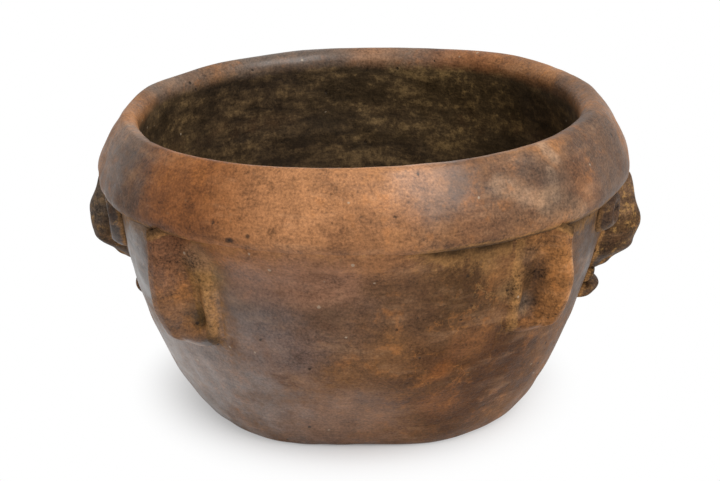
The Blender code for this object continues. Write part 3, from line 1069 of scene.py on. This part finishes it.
# Stains, painted shade and painted sheen that lie over the dust
STAINS = (
    Patch((-0.0428, -0.0949, 0.0982), 0.0013, (0.026, 0.015, 0.009), 0.8),
    Patch((-0.0416, -0.0954, 0.0985), 0.0012, (0.026, 0.015, 0.009), 0.8),
    Patch((-0.0357, -0.0977, 0.1007), 0.0011, (0.03, 0.017, 0.01), 0.75),
    # Painted shade in the hollow of the left front ear
    Patch((-0.0562, -0.0748, 0.0605), 0.009, (0.04, 0.026, 0.009), 0.75),
    # Painted shadow under the left front ear
    Patch((-0.053, -0.0775, 0.0523), 0.008, (0.014, 0.011, 0.008), 0.85),
    Patch((-0.0666, -0.0763, 0.0635), 0.009, (0.105, 0.056, 0.034), 0.55),
    Patch((-0.0541, -0.0816, 0.0868), 0.009, (0.3, 0.16, 0.085), 0.7),
    # Pale grey painted sheen on the left cheek below the collar
    Patch((-0.0795, -0.056, 0.09), 0.011, (0.2, 0.155, 0.13), 0.55),
    Patch((0.0618, -0.0785, 0.088), 0.007, (0.105, 0.058, 0.03), 0.55),
    # Painted shade down the hollow of the right front ear
    Patch((0.063, -0.0765, 0.081), 0.008, (0.058, 0.029, 0.015), 0.75, (0.0615, -0.0745, 0.07)),
    Patch((0.059, -0.074, 0.068), 0.0065, (0.085, 0.068, 0.055), 0.6),
    Patch((0.0943, -0.0369, 0.0894), 0.0085, (0.062, 0.031, 0.017), 0.45),
    # Painted shade along the lower rim of the left front ear
    Patch((-0.073, -0.069, 0.058), 0.0085, (0.075, 0.037, 0.02), 0.62, (-0.058, -0.078, 0.051)),
    Patch((-0.052, -0.083, 0.074), 0.006, (0.36, 0.19, 0.076), 0.4, (-0.0505, -0.0815, 0.059)),
    # Grey painted sheen on the left nose
    Patch((-0.1085, -0.006, 0.085), 0.018, (0.13, 0.108, 0.088), 0.5),
    # Painted shade in the hollow of the left back ear
    Patch((-0.056, 0.075, 0.062), 0.0085, (0.04, 0.026, 0.009), 0.7),
    # Painted shade in the hollow of the right back ear
    Patch((0.06, 0.075, 0.068), 0.009, (0.075, 0.04, 0.018), 0.6),
)
# Places rubbed to a shine
BURNISHED_PATCHES = tuple(
    Patch(middle, size, WHITE, strength)
    for middle, size, strength in (
        ((-0.06, -0.058, 0.038), 0.046, 1.0),
        ((-0.038, -0.088, 0.071), 0.024, 0.55),
        ((-0.088, -0.045, 0.07), 0.03, 0.75),
        ((0.024, -0.09, 0.119), 0.024, 0.45),
        ((0.088, -0.04, 0.064), 0.022, 0.15),
        ((-0.092, -0.045, 0.104), 0.018, 0.26),
        ((0.0, -0.07, 0.018), 0.026, 0.25),
        ((0.06, 0.06, 0.06), 0.05, 0.6),
        ((-0.04, 0.09, 0.115), 0.03, 0.6),
    )
)
# Places with fine veins of iron
VEINED_PATCHES = (
    Patch((0.028, -0.082, 0.05), 0.034, (0.33, 0.13, 0.034), 0.6),
    Patch((0.044, -0.084, 0.078), 0.016, (0.3, 0.16, 0.056), 0.55),
    Patch((-0.052, -0.072, 0.046), 0.018, (0.3, 0.13, 0.04), 0.6),
    Patch((-0.03, 0.084, 0.056), 0.034, (0.33, 0.13, 0.034), 0.6),
)
# Places inside where the soot has worn off
GOLDEN_PATCHES = (
    Patch((0.046, 0.075, 0.11), 0.04, (0.27, 0.165, 0.058), 0.85),
    Patch((-0.078, 0.036, 0.104), 0.03, (0.2, 0.125, 0.05), 0.45),
    Patch((0.081, 0.03, 0.108), 0.024, (0.22, 0.13, 0.052), 0.6),
    Patch((0.004, 0.086, 0.106), 0.04, (0.18, 0.114, 0.047), 0.85),
    Patch((0.0, -0.07, 0.03), 0.03, (0.18, 0.115, 0.05), 0.5),
)


@dataclass
class Unevenness:
    """Noises that a finish shares among its colour, roughness and relief, from broad to fine."""

    where: Wire
    cloud: Wire
    mottle: Wire
    blotch: Wire
    grain: Wire
    fine: Wire
    rub: Wire
    stroke: Wire
    ragged: Wire

    @classmethod
    def of(cls, graph: Graph) -> Unevenness:
        """Add the noises to a graph, on the bowl's own coordinates."""
        where = graph.node("ShaderNodeTexCoord", {}, out="Object")
        strokes = graph.vector("MULTIPLY", where, (1.0, 1.0, 3.6))
        scratches = graph.vector("MULTIPLY", where, (1.0, 1.0, 5.0))
        aside = graph.vector("ADD", where, (0.31, 0.17, 0.53))
        cloud = graph.noise(where, 0.040, 5.0, 0.60)
        mottle = graph.noise(where, 0.012, 6.0, 0.68)
        return cls(
            where=where,
            cloud=cloud,
            mottle=mottle,
            blotch=graph.noise(aside, 0.0075, 6.0, 0.70),
            grain=graph.noise(where, 0.0030, 4.0, 0.72),
            fine=graph.noise(where, 0.0009, 2.0, 0.65),
            rub=graph.noise(strokes, 0.024, 6.0, 0.66),
            stroke=graph.noise(scratches, 0.0050, 4.0, 0.70),
            ragged=mottle * 0.9 + cloud - 0.95,
        )

    def sway(self, **weights: float) -> Wire:
        """The named noises about their middle, each times its weight, added up."""
        parts = [(getattr(self, name) - 0.5) * weight for name, weight in weights.items()]
        return sum(parts[1:], parts[0])


@dataclass(frozen=True)
class ClayFinish:
    """Rubbed and fired earthenware, coloured by fire, smoke, handling and dust, with some shade, sheen and
    highlights painted into its colour.
    """

    name: str
    slot: str
    ground: Tones
    raised: Tones
    roughness: float = 0.50
    sheen: float = 0.08
    burnish_roughness: float = 0.34
    dustiness: float = 0.0
    smokiness: float = 0.30
    mottling: float = 1.0
    flecked: float = 0.0
    dust: Colour = (0.290, 0.148, 0.052)
    soot: Colour = (0.026, 0.016, 0.0085)
    soot_brown: Colour = (0.092, 0.056, 0.026)
    worn_soot: Colour = (0.190, 0.118, 0.050)
    # Near black, for grime and painted shade deep in the crevices
    grime: Colour = (0.018, 0.011, 0.006)
    polish: Colour = (0.380, 0.215, 0.112)
    oxblood: Colour = (0.095, 0.038, 0.018)
    iron: Colour = (0.330, 0.122, 0.032)
    fleck: Colour = (0.310, 0.172, 0.054)
    pit: Colour = (0.020, 0.013, 0.008)
    grit: Colour = (0.440, 0.340, 0.240)

    def material(self) -> bpy.types.Material:
        """Build the finish.

        Returns:
            The material.
        """
        material = bpy.data.materials.new(self.name)
        material.use_nodes = True
        graph = Graph(material.node_tree)
        rough = Unevenness.of(graph)
        pits = self.specks(graph, rough, 0.0080, (0.085, 0.030), 0.60)
        grit = self.specks(graph, rough, 0.0085, (0.060, 0.025), 0.55)
        dark_grain = self.specks(graph, rough, 0.0030, (0.24, 0.12), 0.62)
        pale_grain = self.specks(graph, rough, 0.0034, (0.20, 0.10), 0.70)
        crevice = self.mark(graph, "crevice")
        dust = (crevice * 1.2 + rough.sway(blotch=1.3, grain=0.8) + self.dustiness).between(0.35, 0.90)
        sooted = (self.mark(graph, "inside") * 1.1 + rough.sway(mottle=0.7)).between(0.15, 0.85)
        # Grime and painted shade where the crevice mark is strongest
        grime = (crevice + rough.sway(grain=0.6, blotch=0.6)).between(0.60, 1.05)
        colour = graph.layers(
            self.clay(graph, rough),
            (dust * 0.70, self.dust),
            (grime * 0.80, self.grime),
            *self.coats(graph, rough, STAINS),
            (sooted, self.blackened(graph, rough)),
        )
        tone = rough.sway(grain=0.55, fine=1.5, blotch=0.5, mottle=1.0, stroke=0.65, rub=0.9)
        colour = graph.vector("SCALE", colour, Scale=1 + tone * self.mottling)
        colour = graph.layers(
            colour,
            (dark_grain * 0.13, self.pit),
            (pale_grain * (1 - sooted) * 0.15, self.polish),
            (pits * 0.80, self.pit),
            (grit * 0.60, self.grit),
        )
        gloss = self.roughness + rough.sway(mottle=0.5, grain=0.25) + dust * 0.25 + sooted * 0.10
        height = rough.sway(grain=0.55, fine=0.20, stroke=0.35, rub=0.50, blotch=0.45)
        height = height - pits * 0.70 + grit * 0.20 + dust * 0.15
        relief = graph.node("ShaderNodeBump", {}, Strength=0.55, Distance=0.0008, Height=height)
        shader = graph.node(
            "ShaderNodeBsdfPrincipled",
            {},
            Base_Color=colour,
            Roughness=gloss.clamp(),
            Specular_IOR_Level=self.sheen,
            Coat_Weight=self.burnish(graph, rough, dust, sooted),
            Coat_Roughness=self.burnish_roughness,
            Normal=relief,
        )
        graph.finish(shader)
        return material

    def clay(self, graph: Graph, rough: Unevenness) -> Wire:
        """The colour of the fired clay, with fire clouds, smoke, iron, the polish of hands, painted sheen
        in some patches and a painted highlight along the ears' flange edges.

        Args:
            graph: the material's graph.
            rough: its noises.

        Returns:
            The colour.
        """
        raised = (self.mark(graph, "proud") + rough.sway(blotch=0.8)).between(0.15, 0.85)
        body = graph.mix(raised, self.ground.body, self.raised.body)
        warm = graph.mix(raised, self.ground.warm, self.raised.warm)
        smoke = graph.mix(raised, self.ground.smoke, self.raised.smoke)
        iron = rough.blotch.between(0.52, 0.66) * rough.cloud.between(0.42, 0.58)
        flecks = (rough.blotch * 0.5 + rough.grain * 0.5).between(0.51, 0.60)
        # Wear, and a painted highlight along the ears' flange edges
        worn = (self.mark(graph, "worn") + rough.sway(blotch=1.2)).between(0.45, 1.0)
        return graph.layers(
            body,
            (rough.cloud.between(0.32, 0.68), warm),
            *self.coats(graph, rough, PATCHES),
            (rough.mottle.between(0.50, 0.68) * self.smokiness, smoke),
            (rough.blotch.between(0.50, 0.36) * 0.28, self.oxblood),
            (rough.rub.between(0.53, 0.68) * 0.18, self.polish),
            (iron * 0.35, self.iron),
            (flecks * self.flecked, self.fleck),
            *self.coats(graph, rough, VEINED_PATCHES, self.veins(graph, rough)),
            (worn * 0.40, self.polish),
        )

    def blackened(self, graph: Graph, rough: Unevenness) -> Wire:
        """The sooted inside: wiped streaks, and golden clay where the soot has worn off."""
        wiped = (rough.rub * 0.7 + rough.grain * 0.3).between(0.38, 0.68)
        flecks = (rough.rub * 0.5 + rough.grain * 0.5).between(0.50, 0.66)
        return graph.layers(
            self.soot,
            (wiped, self.soot_brown),
            *self.coats(graph, rough, GOLDEN_PATCHES, flecks * 0.85 + 0.15),
            (flecks * rough.cloud.between(0.42, 0.60) * 0.45, self.worn_soot),
        )

    def burnish(self, graph: Graph, rough: Unevenness, dust: Wire, sooted: Wire) -> Wire:
        """How far the surface was rubbed to a shine with a pebble.

        Args:
            graph: the material's graph.
            rough: its noises.
            dust: mask of the dust, which is dull.
            sooted: mask of the soot, which is duller.

        Returns:
            The weight of the shine, from 0 to 1.
        """
        shine = 0.02 + rough.rub.between(0.45, 0.65) * 0.06
        for reach, _ in self.coats(graph, rough, BURNISHED_PATCHES):
            shine = shine + reach
        dull = (1 - dust * 0.7) * (1 - sooted * 0.8) * (1.2 - rough.grain * 0.6)
        return (shine * dull).clamp()

    @staticmethod
    def coats(
        graph: Graph, rough: Unevenness, patches: Sequence[Patch], share: Wire | None = None
    ) -> list[tuple[Wire, Colour]]:
        """The coats of colour that patches lay on the clay.

        Args:
            graph: the material's graph.
            rough: its noises.
            patches: the patches, the lowest first.
            share: a mask that thins them all, if any.

        Returns:
            The share and the colour of each coat.
        """
        reaches = [ClayFinish.reach(graph, rough, patch) for patch in patches]
        if share is not None:
            reaches = [reach * share for reach in reaches]
        return [(reach, patch.colour) for reach, patch in zip(reaches, patches)]

    @staticmethod
    def reach(graph: Graph, rough: Unevenness, patch: Patch) -> Wire:
        """How strongly a patch colours each place: ragged at its edge."""
        where = rough.where
        if patch.end is not None:
            run = Vector(patch.end) - Vector(patch.middle)
            offset = graph.vector("SUBTRACT", where, patch.middle)
            slope = tuple(run / run.length_squared)
            along = graph.vector("DOT_PRODUCT", offset, slope, out="Value")
            step = graph.vector("SCALE", tuple(run), Scale=along.clamp())
            where = graph.vector("SUBTRACT", where, step)
        away = graph.vector("DISTANCE", where, patch.middle, out="Value")
        faint, full = 1.10 * patch.size, 0.30 * patch.size
        return (rough.ragged * patch.size + away).between(faint, full, patch.strength)

    @staticmethod
    def veins(graph: Graph, rough: Unevenness) -> Wire:
        """Mask of fine branching lines, broken here and there."""
        waver = graph.node("ShaderNodeTexNoise", {}, rough.where, None, 160.0, 4.0, 0.6, out="Color")
        bent = graph.vector("MULTIPLY_ADD", waver, (0.012, 0.012, 0.012), rough.where)
        lines = {"feature": "DISTANCE_TO_EDGE"}
        edge = graph.node("ShaderNodeTexVoronoi", lines, bent, None, 110.0, out="Distance")
        return (edge + rough.sway(fine=0.05)).between(0.035, 0.004) * rough.blotch.between(0.46, 0.60)

    @staticmethod
    def specks(
        graph: Graph, rough: Unevenness, size: float, edge: tuple[float, float], share: float
    ) -> Wire:
        """Mask of small uneven specks.

        Args:
            graph: the material's graph.
            rough: its noises.
            size: how far apart the specks may be.
            edge: distances, in parts of the size, where a speck ends and where it is full.
            share: the share of places that have none.

        Returns:
            1 in a speck and 0 elsewhere.
        """
        spot = graph.node("ShaderNodeTexVoronoi", {}, rough.where, None, 1.0 / size, out="Distance")
        chance = graph.node("ShaderNodeTexVoronoi", {}, rough.where, None, 1.0 / size, out="Color")
        pick = graph.node("ShaderNodeSeparateColor", {}, chance, out=0).between(share, share + 0.02)
        bigger = graph.node("ShaderNodeSeparateColor", {}, chance, out=1) * 0.04
        return (spot + rough.sway(fine=0.12) - bigger).between(*edge) * pick

    @staticmethod
    def mark(graph: Graph, name: str) -> Wire:
        """One of the numbers kept on the piece's vertices."""
        return graph.node("ShaderNodeAttribute", {"attribute_name": name}, out="Fac")


FINISHES = (
    ClayFinish("rubbed_wall", "wall_clay", WALL_TONES, COLLAR_TONES),
    ClayFinish(
        "worn_collar",
        "collar_clay",
        COLLAR_TONES,
        COLLAR_TONES,
        sheen=0.14,
        smokiness=0.20,
        mottling=1.12,
    ),
    ClayFinish(
        "smoked_face",
        "face_clay",
        WALL_TONES,
        FACE_TONES,
        roughness=0.54,
        dustiness=0.20,
        smokiness=0.50,
        mottling=1.7,
        flecked=0.50,
    ),
    ClayFinish(
        "pressed_ear",
        "ear_clay",
        WALL_TONES,
        EAR_TONES,
        roughness=0.48,
        dustiness=0.10,
        mottling=1.45,
    ),
)


@dataclass
class Studio:
    """A white table, soft light and the camera at the photograph's angle."""

    azimuth: float = math.radians(1.5)
    elevation: float = math.radians(20.57)
    distance: float = 0.5884
    aim: float = 0.060
    lens: float = 71.99
    sensor: float = 36.0
    shift: tuple[float, float] = (-0.00175, 0.01157)
    ambient: float = 0.36
    cloth: Colour = (0.90, 0.90, 0.905)
    shadow_middle: Place = (-0.002, 0.005, 0.0)

    def build(self) -> None:
        """Set up the floor, the light and the camera."""
        self.table()
        self.sky()
        self.lamp("top_softbox", place=(0.45, -0.60, 1.05), aim=(0.0, 0.0, 0.06), size=1.10, power=17.5)
        self.camera()

    def table(self) -> None:
        """A white table that goes over to pure white away from the bowl and keeps its shadow."""
        Bench.clear()
        bpy.ops.mesh.primitive_plane_add(size=8.0, location=CENTRE)
        table = Bench.take("table")
        material = bpy.data.materials.new("table_white")
        material.use_nodes = True
        graph = Graph(material.node_tree)
        where = graph.node("ShaderNodeTexCoord", {}, out="Object")
        away = graph.vector("DISTANCE", where, self.shadow_middle, out="Value")
        plain = graph.node("ShaderNodeBsdfDiffuse", {}, self.cloth)
        white = graph.node("ShaderNodeEmission", {}, WHITE, 1.0)
        share = graph.seen() * (away.between(0.057, 0.066, 0.26) + away.between(0.055, 0.097, 0.74))
        graph.finish(graph.node("ShaderNodeMixShader", {}, share, plain, white))
        table.data.materials.append(material)

    def sky(self) -> None:
        """White surroundings: plain light on the bowl and white behind it."""
        world = bpy.data.worlds.new("studio")
        bpy.context.scene.world = world
        world.use_nodes = True
        graph = Graph(world.node_tree)
        strength = self.ambient + graph.seen() * (1 - self.ambient)
        light = graph.node("ShaderNodeBackground", {}, WHITE, strength)
        graph.finish(light, "ShaderNodeOutputWorld")

    @staticmethod
    def lamp(name: str, place: Place, aim: Place, size: float, power: float) -> None:
        """A square softbox.

        Args:
            name: its name.
            place: where it hangs.
            aim: what it points at.
            size: its side.
            power: its light in watts.
        """
        data = bpy.data.lights.new(name, "AREA")
        data.size = size
        data.energy = power
        lamp = bpy.data.objects.new(name, data)
        bpy.context.scene.collection.objects.link(lamp)
        lamp.location = place
        lamp.rotation_euler = (Vector(aim) - Vector(place)).to_track_quat("-Z", "Y").to_euler()

    def camera(self) -> None:
        """The camera, at the photograph's angle."""
        camera = bpy.data.objects.new("camera", bpy.data.cameras.new("camera"))
        bpy.context.scene.collection.objects.link(camera)
        target = Vector((0.0, 0.0, self.aim))
        flat = math.cos(self.elevation)
        east, north = math.sin(self.azimuth) * flat, -math.cos(self.azimuth) * flat
        direction = Vector((east, north, math.sin(self.elevation)))
        camera.location = target + self.distance * direction
        camera.rotation_euler = (-direction).to_track_quat("-Z", "Y").to_euler()
        camera.data.lens = self.lens
        camera.data.sensor_width = self.sensor
        camera.data.shift_x, camera.data.shift_y = self.shift
        bpy.context.scene.camera = camera
        bpy.context.scene.view_settings.view_transform = "Standard"


def main() -> None:
    """Build the bowl and the studio."""
    logging.basicConfig(level=logging.INFO, format="%(message)s")
    for thing in list(bpy.data.objects):
        bpy.data.objects.remove(thing, do_unlink=True)
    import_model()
    form = BowlForm()
    finishes = {finish.slot: finish.material() for finish in FINISHES}
    courses = ("floor_pad", "lower_wall", "middle_wall", "upper_wall")
    pieces: list[tuple[bpy.types.Object, tuple[str, ...], str]] = []
    pieces.append((BowlWall(form).build(), courses, "wall_clay"))
    pieces.append((Collar(form).build(), ("collar",), "collar_clay"))
    for face in FACES:
        pieces.append((Nose(form, face).build(), (f"{face.name}_nose",), "face_clay"))
        upper = Lip(form, face, name="upper", stand=face.upper_lip)
        lower = Lip(form, face, name="lower", width=0.0270, tall=0.0064, stand=face.lower_lip, drop=0.0481)
        for lip in (upper, lower):
            pieces.append((lip.build(), (f"{face.name}_{lip.name}_lip",), "face_clay"))
        for side in Side:
            place = f"{face.name}_{side.value}"
            pieces.append((Eye(form, face, side=side).build(), (f"{place}_eye",), "face_clay"))
            seed = 10 * FACES.index(face) + list(Side).index(side)
            pieces.append((Ear(form, face, side=side, seed=seed).build(), (f"{place}_ear",), "ear_clay"))
    for piece, nodes, slot in pieces:
        piece.data.materials.clear()
        piece.data.materials.append(finishes[slot])
        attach(piece, "root")
        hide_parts(*nodes)
        LOG.info("%s: %d faces", piece.name, len(piece.data.polygons))
    Studio().build()


if __name__ == "__main__":
    main()
